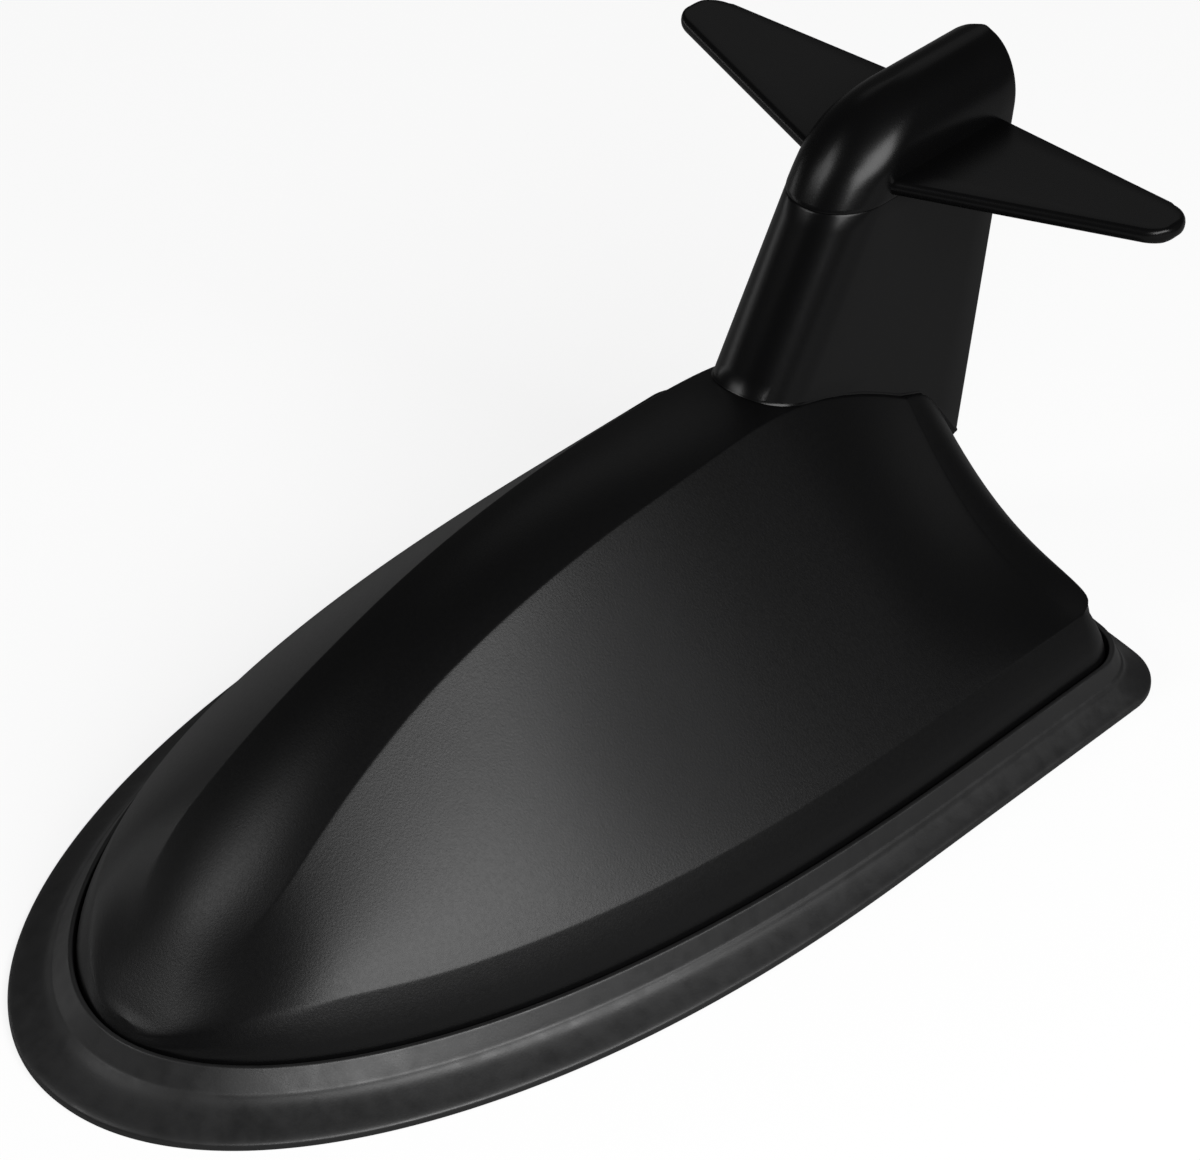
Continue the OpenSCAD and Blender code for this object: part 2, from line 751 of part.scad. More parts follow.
module terminal_screw() {
    color("#b9bcc0")
        translate([term_x, term_y, board_top])
            difference() {
                union() {
                    translate([0, 0, 3.6])
                        cylinder(r = screw_r, h = 3);
                    translate([0, 0, 6.4])
                        cylinder(r = 2.1, h = 1.3);
                }
                translate([-3, -0.3, 7.2])
                    cube([6, 0.6, 2]);
            }
}
clamp_rim = 2.5;
clamp_slot = 4;
module mast_clamp() {
    color("#8b8f94")
        difference() {
            translate([-tenon_half - clamp_rim, tenon_y0 - clamp_rim, clamp_top - clamp_t])
                cube([2 * (tenon_half + clamp_rim), tenon_y1 - tenon_y0 + 2 * clamp_rim, clamp_t]);
            for (y = tenon_bolts)
                translate([0, y, 0])
                    cylinder(r = screw_r + 0.3, h = ridge_h);
            translate([-clamp_slot / 2, strip_y0 - 1, 0])
                cube([clamp_slot, strip_w + 2, ridge_h]);
        }
}

// Cross-headed screw, head down, its seat at Z = 0 and its shank upward
module screw(r, len, hr, hh) {
    difference() {
        union() {
            translate([0, 0, -hh / 2])
                cylinder(r = r, h = len + hh / 2);
            translate([0, 0, -hh])
                cylinder(r = hr, h = hh);
        }
        for (a = [0, 90])
            rotate([0, 0, a])
                translate([-hr * 0.6, -0.25, -hh - 1])
                    cube([hr * 1.2, 0.5, 1 + hh * 0.5]);
    }
}
cover_shank = 7.6;
module cover_screws() {
    color("#aeb2b7")
        for (p = cover_bolts)
            translate([p[0], p[1], pad_t + head_h + 0.1])
                screw(screw_r, cover_shank, head_r, head_h);
}
board_shank = 5.4;
board_head = [2.3, 1.3];
module board_screws() {
    color("#aeb2b7")
        for (p = board_bolts)
            translate([p[0], p[1], board_top])
                rotate([180, 0, 0])
                    screw(screw_r - 0.1, board_shank, board_head[0], board_head[1]);
}
mast_shank = 9;
mast_head = [2.5, 1.4];
module mast_screws() {
    color("#aeb2b7")
        for (y = tenon_bolts)
            translate([0, y, clamp_top - clamp_t])
                screw(screw_r, mast_shank, mast_head[0], mast_head[1]);
}

fin_cover();
tail_mast();
tail_cap();
gasket();
base_plate();
adhesive_pad();
circuit_board();
shield_can();
coil_former();
loading_coil();
mast_strip();
strip_clip();
cable_socket();
amplifier_chip();
choke();
capacitors();
cable_grommet();
lead_terminal();
terminal_screw();
mast_clamp();
cover_screws();
board_screws();
mast_screws();
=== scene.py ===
"""Looks of the shark fin aerial: smooth skins, materials, studio light and camera."""

import json
import math

import bmesh
import bpy
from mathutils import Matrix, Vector
from mathutils.bvhtree import BVHTree


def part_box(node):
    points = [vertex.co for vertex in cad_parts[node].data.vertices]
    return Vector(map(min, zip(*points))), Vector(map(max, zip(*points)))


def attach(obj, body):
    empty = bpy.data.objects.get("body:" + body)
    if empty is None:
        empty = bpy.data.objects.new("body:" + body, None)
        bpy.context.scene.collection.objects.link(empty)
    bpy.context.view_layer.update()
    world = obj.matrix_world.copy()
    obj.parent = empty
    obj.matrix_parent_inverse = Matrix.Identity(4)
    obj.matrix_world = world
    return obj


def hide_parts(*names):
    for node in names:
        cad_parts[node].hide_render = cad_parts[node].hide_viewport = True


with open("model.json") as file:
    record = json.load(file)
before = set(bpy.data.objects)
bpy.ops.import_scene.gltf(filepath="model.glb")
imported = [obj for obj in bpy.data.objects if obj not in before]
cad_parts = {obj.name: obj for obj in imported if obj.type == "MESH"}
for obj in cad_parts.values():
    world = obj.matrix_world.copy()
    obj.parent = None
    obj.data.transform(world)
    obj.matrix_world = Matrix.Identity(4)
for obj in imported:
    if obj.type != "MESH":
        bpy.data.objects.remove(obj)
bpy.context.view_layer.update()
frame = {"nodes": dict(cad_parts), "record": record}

MM = 0.001

# Driving sizes in millimetres: the outer ones from the frame, the rest as in the solids
gasket_lo, gasket_hi = (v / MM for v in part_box("gasket"))
cover_lo, cover_hi = (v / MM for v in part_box("fin_cover"))
mast_lo, mast_hi = (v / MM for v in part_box("tail_mast"))
cap_lo, cap_hi = (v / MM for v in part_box("tail_cap"))
GASKET_HALF = gasket_hi.x
Y_NOSE, Y_TAIL = gasket_lo.y, gasket_hi.y
COLLAR_H = gasket_hi.z
COVER_HALF = cover_hi.x
COVER_Y0, COVER_Y1 = cover_lo.y, cover_hi.y
EDGE_Z = cover_lo.z
MAST_HALF = mast_hi.x
SEAM_H = mast_hi.z
CROWN_H = cap_hi.z
SPAN = cap_hi.x - cap_lo.x
WAIST_H = 3.7
BAND_H = 12.8
BAND_IN = 3.2
RIDGE_H = 43.8
SPINE_HALF = 7.0
SPINE_RISE = 1.6
WALL = 2
TAIL_BOW = 6
TAIL_T = 2.1
TAIL_RISE = 2.4

# Where each plan outline reaches its full width, and its fullness at the nose
SOLE_Y, SOLE_FIT = 22, (2.26, 2.06)
WAIST_Y, WAIST_FIT = 34, (2.34, 2.02)
FOOT_Y, FOOT_FIT = 41, (2.44, 1.97)

# Rear corners: radii, and the degrees that each turns before the bowed rear edge
SOLE_R, WAIST_R, CORNER_R = 9, 8, 7
CORNER_TURN = 76

# How far the crease between skirt and collar stands outside the cover
WAIST_OUT, WAIST_NOSE_OUT = 1.7, 3


# Shared shape functions
def mix(a, b, t):
    return a * (1 - t) + b * t


def clamp01(t):
    return min(1.0, max(0.0, t))


def ease(t):
    u = clamp01(t)
    return u * u * (3 - 2 * u)


def fade(v, stretch):
    """Eases from 0 to 1 over a stretch given as its start and its length."""
    return ease((v - stretch[0]) / stretch[1])


def nose_w(y, w, y0, ym, p, q):
    """Half width of an outline, round at the nose and straight from the shoulder back."""
    t = clamp01((y - y0) / (ym - y0))
    return w * max(0.0, 1 - (1 - t) ** p) ** (1 / q)


def outline(w, y0, ym, y1, rc, p, q, side_n=64, corner_n=14, rear_n=16):
    """Closed plan outline, nose first, counterclockwise from above."""
    lean = math.radians(90 - CORNER_TURN)
    x1 = w - rc + rc * math.sin(lean)
    yc = y1 - TAIL_BOW * (x1 / w) ** 2 - rc * math.cos(lean)
    half = []
    for i in range(side_n + 1):
        y = y0 + (yc - y0) * (i / side_n) ** 2
        half.append((nose_w(y, w, y0, ym, p, q), y))
    for i in range(1, corner_n + 1):
        a = math.radians(CORNER_TURN * i / corner_n)
        half.append((w - rc + rc * math.cos(a), yc + rc * math.sin(a)))
    for i in range(1, rear_n + 1):
        x = x1 * (1 - i / rear_n)
        half.append((x, y1 - TAIL_BOW * (x / w) ** 2))
    return half + [(-x, y) for x, y in half[-2:0:-1]]


def gasket_line(d):
    """The gasket's sole, drawn in by a distance."""
    return outline(GASKET_HALF - d, Y_NOSE + d, SOLE_Y, Y_TAIL - d, SOLE_R - d * 0.4, *SOLE_FIT)


def collar_line(d):
    """Outline a distance outside the cover's bottom edge."""
    return outline(COVER_HALF + d, COVER_Y0 - d, FOOT_Y, COVER_Y1 + d,
                   max(2, CORNER_R + d), *FOOT_FIT)


def waist_line(d):
    """Outline of the crease between collar and skirt, drawn in by a distance."""
    return outline(COVER_HALF + WAIST_OUT - d, COVER_Y0 - WAIST_NOSE_OUT + d, WAIST_Y,
                   COVER_Y1 + WAIST_OUT - d, WAIST_R, *WAIST_FIT)


def between(line_a, line_b, t):
    return [(mix(a[0], b[0], t), mix(a[1], b[1], t)) for a, b in zip(line_a, line_b)]


# Mesh building
def new_piece(name, verts, faces, slot, replaced=()):
    """A mesh object, given in millimetres, that rides on the part."""
    mesh = bpy.data.meshes.new(name)
    mesh.from_pydata([Vector(v) * MM for v in verts], [], faces)
    mesh.update()
    obj = bpy.data.objects.new(name, mesh)
    bpy.context.scene.collection.objects.link(obj)
    bm = bmesh.new()
    bm.from_mesh(mesh)
    bmesh.ops.remove_doubles(bm, verts=bm.verts, dist=1e-7)
    bmesh.ops.recalc_face_normals(bm, faces=bm.faces)
    bm.to_mesh(mesh)
    bm.free()
    for f in mesh.polygons:
        f.use_smooth = True
    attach(obj, "root")
    if replaced:
        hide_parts(*replaced)
    return obj


def ring_faces(n, m, closed=False):
    """Quads between m rings of n points, the last joined to the first where closed."""
    faces = []
    for k in range(m if closed else m - 1):
        for i in range(n):
            a, b = k * n + i, k * n + (i + 1) % n
            c, d = ((k + 1) % m) * n + i, ((k + 1) % m) * n + (i + 1) % n
            faces.append((a, b, d, c))
    return faces


def capped_loft(rings):
    """Vertices and faces of a skin through the rings, closed at both ends."""
    n, m = len(rings[0]), len(rings)
    faces = ring_faces(n, m)
    faces.append(tuple(range(n)))
    faces.append(tuple((m - 1) * n + i for i in reversed(range(n))))
    return [p for r in rings for p in r], faces


def smooth_skin(obj):
    mod = obj.modifiers.new("smooth", "SUBSURF")
    mod.levels = mod.render_levels = 2
    mod.boundary_smooth = "PRESERVE_CORNERS"


def hold_edges(obj, pairs):
    """Keeps the edges between the given vertices sharp under the smoothing."""
    held = {frozenset(p) for p in pairs}
    layer = obj.data.attributes.new("crease_edge", "FLOAT", "EDGE")
    for e in obj.data.edges:
        layer.data[e.index].value = 1.0 if frozenset(e.vertices) in held else 0.0


# Cover: the ridge crease, and the spine between the two creases
RIDGE_Y0 = COVER_Y0 + 2.2
RIDGE_Z0 = 7
RIDGE_LEAD = 5
PEAK_Y = 36.5
TAIL_DROP = 14.2
TAIL_RUN = 33.5
SPINE_START = 1.2
NOSE_TURN = 20
FRONT_WIDE, FRONT_NARROWS = 0.8, (15, 25)
NOSE_WIDE, NOSE_WIDE_FROM, NOSE_WIDE_RUN = 2.3, -25, 36
REAR_WIDE, REAR_WIDENS = 0.5, (PEAK_Y, 20)
CREST_GROWS, CREST_SINKS = (RIDGE_Y0 - 3, 15), (8, 26)

# Cover: the side faces, the band under them and the rear corners
SWELL, SWELL_GROWS, SWELL_ENDS = 0.7, (COVER_Y0, 25), (-30, 35)
HOLLOW, HOLLOW_GROWS = 5.4, (40, 32)
TIP_IN, TIP_Z = 0.5, 6.6
CORNER_IN = 5.3
CORNER_Y = (COVER_Y1 - TAIL_BOW * ((COVER_HALF - CORNER_IN) / COVER_HALF) ** 2
            - CORNER_R * math.cos(math.radians(90 - CORNER_TURN)))

# Cover: rounding of the creases on the body and round the nose, and the stretches
# over which it changes, in shares of the way from nose to rear corner
CREASE_ROUND, NOSE_ROUND = 0.28, 2.4
RIDGE_FADE = (0.22, 0.13)
LOWER_FADE = (0.2, 0.12)
NOSE_MELT = (0.05, 0.23)
BAND_GROWS = (0, 0.36)
UPRIGHT_FADE = (0, 0.5)


def ridge_z(y):
    """Height of the ridge crease along the length."""
    if y < PEAK_Y:
        t = clamp01((y - RIDGE_Y0) / (PEAK_Y + RIDGE_LEAD - RIDGE_Y0))
        return RIDGE_Z0 + (RIDGE_H - RIDGE_Z0) * (1 - (1 - t) ** 3)
    return RIDGE_H - TAIL_DROP * clamp01((y - PEAK_Y) / TAIL_RUN) ** 1.75


def ridge_x(y):
    """Half width of the spine: wider to both ends, and turned round at the tip."""
    front = FRONT_WIDE * (1 - fade(y, FRONT_NARROWS))
    nose = NOSE_WIDE * max(0, (NOSE_WIDE_FROM - y) / NOSE_WIDE_RUN) ** 1.3
    turned = clamp01((COVER_Y0 + NOSE_TURN - y) / (NOSE_TURN - SPINE_START))
    wide = SPINE_HALF + (front + nose) + REAR_WIDE * fade(y, REAR_WIDENS)
    return wide * math.sqrt(1 - turned ** 1.2)


def crest(y):
    """Rise of the spine above its creases."""
    return SPINE_RISE * fade(y, CREST_GROWS) * (1 - 0.5 * fade(y, CREST_SINKS))


def swell(y):
    """How far the side face swells beyond a straight line, hollow at the tail."""
    full = SWELL * fade(y, SWELL_GROWS) * (1 - fade(y, SWELL_ENDS))
    return full - HOLLOW * fade(y, HOLLOW_GROWS)


def soft_max(a, b):
    return (a ** 12 + b ** 12) ** (1 / 12)


def band_lean(t, zl, s):
    """Share of the band's inward lean at a share of its height: upright inside the collar."""
    upright = mix(1, 0.55, fade(s, UPRIGHT_FADE)) * (COLLAR_H - EDGE_Z) / (zl - EDGE_Z)
    return clamp01((t - upright) / (1 - upright)) ** 1.6


# Points across half a section: up the band, over the side face, to the spine's middle
BAND_T = (0, 0.2, 0.36, 0.52, 0.72)
SIDE_COLS = 8
SPINE_COLS = 5
LOWER = len(BAND_T) + 1
RIDGE = LOWER + SIDE_COLS + 2

# Most that the points beside a crease stand off from it, in shares of a face
SIDE_BESIDE, EDGE_BESIDE = 0.12, 0.2


def station_y(s, y0):
    return y0 + (CORNER_Y - y0) * s * s


def half_section(s):
    """Points across the cover at station s, bottom edge to the middle of the spine.

    A column of points runs close beside each crease, so that the crease stays
    tight along the body and melts away round the nose."""
    grown = fade(s, BAND_GROWS)
    inset = mix(TIP_IN, BAND_IN, grown)
    yb = station_y(s, COVER_Y0)
    yl = station_y(s, COVER_Y0 + inset)
    yr = station_y(s, COVER_Y0 + SPINE_START)
    xb = nose_w(yb, COVER_HALF, COVER_Y0, FOOT_Y, *FOOT_FIT)
    xl = nose_w(yl, COVER_HALF - inset, COVER_Y0 + inset, FOOT_Y, *FOOT_FIT)
    zl = mix(TIP_Z, BAND_H, grown)
    xr = min(ridge_x(yr), 0.72 * xl)
    zr = soft_max(ridge_z(yr), zl + 0.4 + 0.4 * s)
    low_round = mix(NOSE_ROUND, CREASE_ROUND, fade(s, LOWER_FADE))
    top_round = mix(NOSE_ROUND, CREASE_ROUND, fade(s, RIDGE_FADE))

    pts = []
    for t in BAND_T + (1 - min(EDGE_BESIDE, low_round / (zl - EDGE_Z)), 1):
        lean = band_lean(t, zl, s)
        pts.append(Vector((mix(xb, xl, lean), mix(yb, yl, lean), mix(EDGE_Z, zl, t))))

    low = Vector((xl, yl, zl))
    run = Vector((xr, yr, zr)) - low
    out = Vector((run.z, 0, -run.x)).normalized() if run.length > 0 else Vector()
    drooped = ease((26 * s - 2) / 6)
    at_low = min(SIDE_BESIDE, low_round / run.length)
    at_top = 1 - min(SIDE_BESIDE, top_round / run.length)
    for t in [mix(at_low, at_top, k / SIDE_COLS) for k in range(SIDE_COLS + 1)] + [1]:
        arch = 4 * t * (1 - t) * mix(1, 1.25 - 0.5 * t, drooped)
        pts.append(low + run * t + out * swell(yl) * arch)

    at_spine = 1 - min(EDGE_BESIDE, top_round / max(xr, 0.1))
    for k in range(SPINE_COLS + 1):
        u = at_spine * (1 - k / SPINE_COLS)
        pts.append(Vector((xr * u, yr, zr + crest(yr) * (1 - u * u))))

    melt = 1 - fade(s, NOSE_MELT)
    if melt > 0:
        pts[LOWER:] = melted(pts[LOWER:], melt)
    if s == 0:
        pts = [Vector((0, p.y, p.z)) for p in pts]
    return pts


def melted(pts, share):
    """Blends the upper section toward one smooth arch, as round the nose."""
    first, last = pts[0], pts[-1]
    reach = [0]
    for a, b in zip(pts, pts[1:]):
        reach.append(reach[-1] + (b - a).length)
    arch = []
    for p, r in zip(pts, reach):
        a = math.radians(90) * r / reach[-1]
        up = math.sin(a)
        smooth = Vector((first.x * math.cos(a), mix(first.y, last.y, up), mix(first.z, last.z, up)))
        arch.append(p.lerp(smooth, share))
    return arch


# Rear: shares of the way over the shoulder and down the wall, and how far the corner's
# columns have turned at the end of each, in degrees at the bottom edge and lower crease
SHOULDER_Q = [0.028] + [k / 7 for k in range(1, 8)]
WALL_Q = (0.25, 0.5, 0.75, 1)
SHOULDER_TURN, WALL_TURN = (36, 47), (48, 70)
REAR_IN = 1.6
REAR_ARCH = 9.5


def corner_at(deg, d):
    """Point on the rounded rear corner, turned by an angle and drawn in."""
    a = math.radians(deg)
    return COVER_HALF - CORNER_R + (CORNER_R - d) * math.cos(a), CORNER_Y + (CORNER_R - d) * math.sin(a)


def rear_y(x, d):
    return COVER_Y1 - d - TAIL_BOW * (x / COVER_HALF) ** 2


def rear_edge_z(x):
    """Height of the rear wall's upper edge, raised under the mast."""
    return BAND_H + REAR_ARCH * max(0, 1 - x / (COVER_HALF - BAND_IN)) ** 2.6


def rear_rows():
    """Rows over the rear shoulder, then down the rear wall to the bottom edge."""
    last = half_section(1)
    band_t = [(p.z - EDGE_Z) / (last[LOWER].z - EDGE_Z) for p in last[:LOWER + 1]]
    rows = []
    for q in SHOULDER_Q:
        swing = math.radians(90 * q)
        row = []
        for j, p in enumerate(last):
            if j <= LOWER:
                t = band_t[j]
                x, y = corner_at(mix(*SHOULDER_TURN, t) * q, BAND_IN * band_lean(t, BAND_H, 1))
                row.append(Vector((x, y, p.z)))
            else:
                x = p.x * (1 - 0.05 * q * q)
                y = mix(p.y, rear_y(x, REAR_IN), math.sin(swing))
                z = mix(p.z, min(rear_edge_z(x), p.z - 0.5), 1 - math.cos(swing))
                row.append(Vector((x, y, z)))
        rows.append(row)
    edge = rows[-1]
    for q in WALL_Q:
        turn = [mix(a, b, q) for a, b in zip(SHOULDER_TURN, WALL_TURN)]
        row = []
        for j, p in enumerate(edge):
            z = mix(p.z, EDGE_Z, q)
            if j <= LOWER:
                t = band_t[j]
                x, y = corner_at(mix(*turn, t), BAND_IN * band_lean(t, BAND_H, 1) * (1 - q))
                row.append(Vector((x, y, z)))
            else:
                row.append(Vector((p.x, rear_y(p.x, REAR_IN * (1 - q)), z)))
        rows.append(row)
    return rows


# The cover's grid: rows from the nose to the rear edge, columns from side to side
STATIONS = 34
BESIDE_REAR = 1 - 0.5 * CREASE_ROUND / (CORNER_Y - COVER_Y0)
STATION_S = [i / STATIONS for i in range(STATIONS)] + [BESIDE_REAR, 1]
REAR_ROW = len(STATION_S) - 1
half_rows = [half_section(t) for t in STATION_S] + rear_rows()
HALF_N = len(half_rows[0])
cover_grid = [r + [Vector((-p.x, p.y, p.z)) for p in r[-2::-1]] for r in half_rows]
COVER_N, COVER_M = len(cover_grid[0]), len(cover_grid)
COLUMN_MARKS = (LOWER, RIDGE, COVER_N - 1 - RIDGE, COVER_N - 1 - LOWER)


def steady(k, marks):
    """Index whose direction a point takes: beside a crease, the crease's own."""
    for m in marks:
        if abs(k - m) == 1:
            return m
    return k


def grid_dir(i, j):
    """Outward direction at a point of the cover, level along the bottom edge."""
    i, j = steady(i, (REAR_ROW,)), steady(j, COLUMN_MARKS)
    step_i = 2 if i == REAR_ROW else 1
    step_j = 2 if j in COLUMN_MARKS else 1
    g = cover_grid
    du = g[min(i + step_i, COVER_M - 1)][j] - g[max(i - step_i, 0)][j]
    dv = g[i][min(j + step_j, COVER_N - 1)] - g[i][max(j - step_j, 0)]
    if i == COVER_M - 1 and j in (0, COVER_N - 1):
        t = g[i][1] - g[i - 1][0]
        return Vector(((1 if j == 0 else -1) * t.y, -t.x if j == 0 else t.x, 0)).normalized()
    c = du.cross(dv)
    if i == 0 or j == HALF_N - 1:
        c.x = 0
    if j in (0, COVER_N - 1) or i == COVER_M - 1:
        c.z = 0
    return c.normalized()


def build_cover():
    """Outer skin, inner skin and the rim between them, with the rim's edges."""
    index, verts = {}, []
    for layer, depth in ((0, 0), (1, WALL)):
        for i in range(COVER_M):
            for j in range(COVER_N):
                if i == 0 and j >= HALF_N:
                    index[layer, i, j] = index[layer, i, COVER_N - 1 - j]
                    continue
                index[layer, i, j] = len(verts)
                p = cover_grid[i][j]
                verts.append(p - grid_dir(i, j) * depth if depth else p)
    faces = []
    for layer in (0, 1):
        for i in range(COVER_M - 1):
            for j in range(COVER_N - 1):
                quad = [index[layer, i, j], index[layer, i, j + 1],
                        index[layer, i + 1, j + 1], index[layer, i + 1, j]]
                faces.append(quad if layer == 0 else quad[::-1])
    rim = [(i, 0) for i in range(COVER_M)] + [(COVER_M - 1, j) for j in range(1, COVER_N)]
    rim += [(i, COVER_N - 1) for i in range(COVER_M - 2, 0, -1)]
    sharp = []
    for a, b in zip(rim, rim[1:] + rim[:1]):
        faces.append([index[0, *b], index[0, *a], index[1, *a], index[1, *b]])
        sharp += [(index[0, *a], index[0, *b]), (index[1, *a], index[1, *b])]
    return verts, faces, sharp


cover_verts, cover_faces, cover_rim = build_cover()
cover = new_piece("cover_skin", cover_verts, cover_faces, "cover_black", ["fin_cover"])
hold_edges(cover, cover_rim)
smooth_skin(cover)

# Gasket: where the skirt starts above the sole, its sag, and the collar's outer face
SKIRT_IN, SKIRT_Z = 0.75, 1.32
SKIRT_SAG = 0.12
COLLAR_OUT = 1.05
COLLAR_IN = 0.3


def build_gasket():
    """Rings from the sole over the skirt and the collar, and down inside it."""
    sole, waist = gasket_line(SKIRT_IN), waist_line(0.25)
    crease, collar = waist_line(0), collar_line(COLLAR_OUT)
    rings = [
        (gasket_line(0.5), 0),
        (gasket_line(0.08), 0),
        (gasket_line(0), 0.08),
        (gasket_line(0), 0.72),
        (gasket_line(0.1), 0.98),
        (sole, SKIRT_Z),
    ]
    for t in (0.25, 0.5, 0.75):
        sag = SKIRT_SAG * math.sin(math.pi * t)
        rings.append((between(sole, waist, t), mix(SKIRT_Z, WAIST_H - 0.12, t) - sag))
    rings += [
        (waist_line(-0.35), WAIST_H - 0.18),
        (crease, WAIST_H),
        (between(crease, collar, 0.15), WAIST_H + 0.4),
        (between(crease, collar, 0.9), COLLAR_H - 0.4),
        (collar, COLLAR_H - 0.15),
        (collar_line(0.9), COLLAR_H),
        (collar_line(0.45), COLLAR_H),
        (collar_line(COLLAR_IN), COLLAR_H - 0.12),
        (collar_line(COLLAR_IN), COLLAR_H - 0.5),
        (collar_line(COLLAR_IN), EDGE_Z),
        (collar_line(-1.0), EDGE_Z),
        (collar_line(-1.0), 0),
    ]
    verts = [Vector((x, y, z)) for line, z in rings for x, y in line]
    return verts, ring_faces(len(sole), len(rings), closed=True)


gasket = new_piece("gasket_skin", *build_gasket(), "gasket_rubber", ["gasket"])
smooth_skin(gasket)

# Mast: its front and back at the foot's height, how both lean, and its round front
MAST_Y, MAST_LEN, MAST_FOOT = 37.5, 42.64, 44
RAKE, BACK_RAKE = 0.6, 0.16
FRONT_RX, FRONT_RY = 6.6, 7.6
ARC = 14
FLAT = 8

# Rise above the cover and inset of the foot's rings, which form a small bead
FOOT_STEPS = ((-1.2, 0.5), (-0.05, 0.0), (0.14, -0.12), (0.3, -0.08), (0.4, 0.0))
MAST_STEPS = 12
SEAM_LIP = 0.3


def mast_front(z):
    return MAST_Y + RAKE * (z - MAST_FOOT)


def mast_back(z):
    return MAST_Y + MAST_LEN + BACK_RAKE * (z - MAST_FOOT)


def blade(w, yf, yb, rx, back_r=0.5):
    """Plan section of a blade, square at the back with small radii, rounded in front."""
    pts = []
    for side, start in ((1, 0), (-1, 90)):
        for i in range(4):
            a = math.radians(start + 30 * i)
            pts.append((side * (w - back_r) + back_r * math.cos(a), yb - back_r + back_r * math.sin(a)))
    for i in range(1, FLAT):
        pts.append((-w, mix(yb - back_r, yf + FRONT_RY, i / FLAT)))
    for i in range(ARC + 1):
        a = math.radians(90 * i / ARC)
        pts.append((-w + rx - rx * math.cos(a), yf + FRONT_RY - FRONT_RY * math.sin(a)))
    for i in range(ARC + 1):
        a = math.radians(90 * i / ARC)
        pts.append((w - rx + rx * math.sin(a), yf + FRONT_RY - FRONT_RY * math.cos(a)))
    for i in range(1, FLAT):
        pts.append((w, mix(yf + FRONT_RY, yb - back_r, i / FLAT)))
    return pts


def mast_line(z, inset=0.0):
    return blade(MAST_HALF - inset, mast_front(z) + inset, mast_back(z) - inset, FRONT_RX)


def foot_height(tree, i):
    """Where point i of the mast's outline meets the cover, never below the solid's foot."""
    z = 40.0
    for _ in range(8):
        x, y = mast_line(z)[i]
        hit = tree.ray_cast(Vector((x * MM, y * MM, 0.2)), Vector((0, 0, -1)))
        z = max(hit[0].z / MM if hit[0] is not None else 0, mast_lo.z)
    return z


def build_mast():
    """A blade whose foot follows the cover and whose top ends at the level seam."""
    tree = BVHTree.FromObject(cover, bpy.context.evaluated_depsgraph_get())
    feet = [foot_height(tree, i) for i in range(len(mast_line(0)))]

    def ring(heights, inset=0.0):
        return [Vector((*mast_line(z, inset)[i], z)) for i, z in enumerate(heights)]

    rings = [ring([z + rise for z in feet], inset) for rise, inset in FOOT_STEPS]
    foot_top = FOOT_STEPS[-1][0]
    for k in range(1, MAST_STEPS):
        rings.append(ring([mix(z + foot_top, SEAM_H - SEAM_LIP, k / MAST_STEPS) for z in feet]))
    for below, inset in ((SEAM_LIP, 0), (0.06, 0.05), (0, 0.16)):
        rings.append(ring([SEAM_H - below] * len(feet), inset))
    return capped_loft(rings)


mast = new_piece("mast_skin", *build_mast(), "mast_black", ["tail_mast"])

# Tail cap
CAP_HALF = MAST_HALF + 0.03
CAP_OVER = 0.08
CAP_TAIL = 1.1
CAP_LIP = 0.22
CROWN_RUN = 18.2
ARCH_H = 8.6
ARCH_Z = CROWN_H - ARCH_H


def cap_front(z):
    """Leaves the seam at the mast's rake and curves level at the crown."""
    rise = CROWN_H - SEAM_H
    t = 1 - math.sqrt(clamp01((CROWN_H - z) / rise))
    y0 = mast_front(SEAM_H) - CAP_OVER
    return y0 * (1 - t) ** 2 + 2 * (y0 + RAKE * rise) * t * (1 - t) + (y0 + CROWN_RUN) * t * t


def build_cap():
    """Blade sections from the seam's lip up and over the arch."""
    levels = [(SEAM_H + 0.02, 0.16), (SEAM_H + 0.06, 0.05), (SEAM_H + CAP_LIP, 0)]
    levels += [(mix(SEAM_H + CAP_LIP, ARCH_Z, k / 8), 0) for k in range(1, 9)]
    levels += [(ARCH_Z + ARCH_H * math.sin(math.radians(a)), 0) for a in range(4, 88, 3)]
    levels.append((CROWN_H - 0.004, 0))
    rings = []
    for z, inset in levels:
        up = clamp01((z - ARCH_Z) / ARCH_H)
        w = max(0.3, CAP_HALF * math.sqrt(1 - up * up)) - inset
        yf, yb = cap_front(z) + inset, mast_back(z) + CAP_TAIL - inset
        line = blade(w, yf, yb, min(FRONT_RX, w - 0.1), back_r=min(0.9, w * 0.6))
        rings.append([Vector((x, y, z)) for x, y in line])
    return capped_loft(rings)


# Tailplanes: edges and their slopes, and the round tip that meets both
WING_LE = MAST_Y + 19.7
WING_TE = WING_LE + 25.9
LE_SLOPE, TE_SLOPE = 0.349, 0.099
TIP_R = 4.4
TIP_X = SPAN / 2 - TIP_R
TIP_Y = WING_LE + LE_SLOPE * TIP_X + TIP_R * math.sqrt(1 + LE_SLOPE ** 2)
WING_Z = SEAM_H + 0.3
WING_ROOT_IN = 2.5
WING_STEPS = 16


def wing_edges(x):
    """Leading and trailing edge of the tailplane at a distance out from the middle."""
    le, te = WING_LE + LE_SLOPE * x, WING_TE - TE_SLOPE * x
    a_le, a_te = math.atan(LE_SLOPE), math.atan(TE_SLOPE)
    if x > TIP_X + TIP_R * math.sin(a_le):
        le = TIP_Y - math.sqrt(max(0, TIP_R ** 2 - (x - TIP_X) ** 2))
    if x > TIP_X + TIP_R * math.sin(a_te):
        te = TIP_Y + math.sqrt(max(0, TIP_R ** 2 - (x - TIP_X) ** 2))
    return le, te


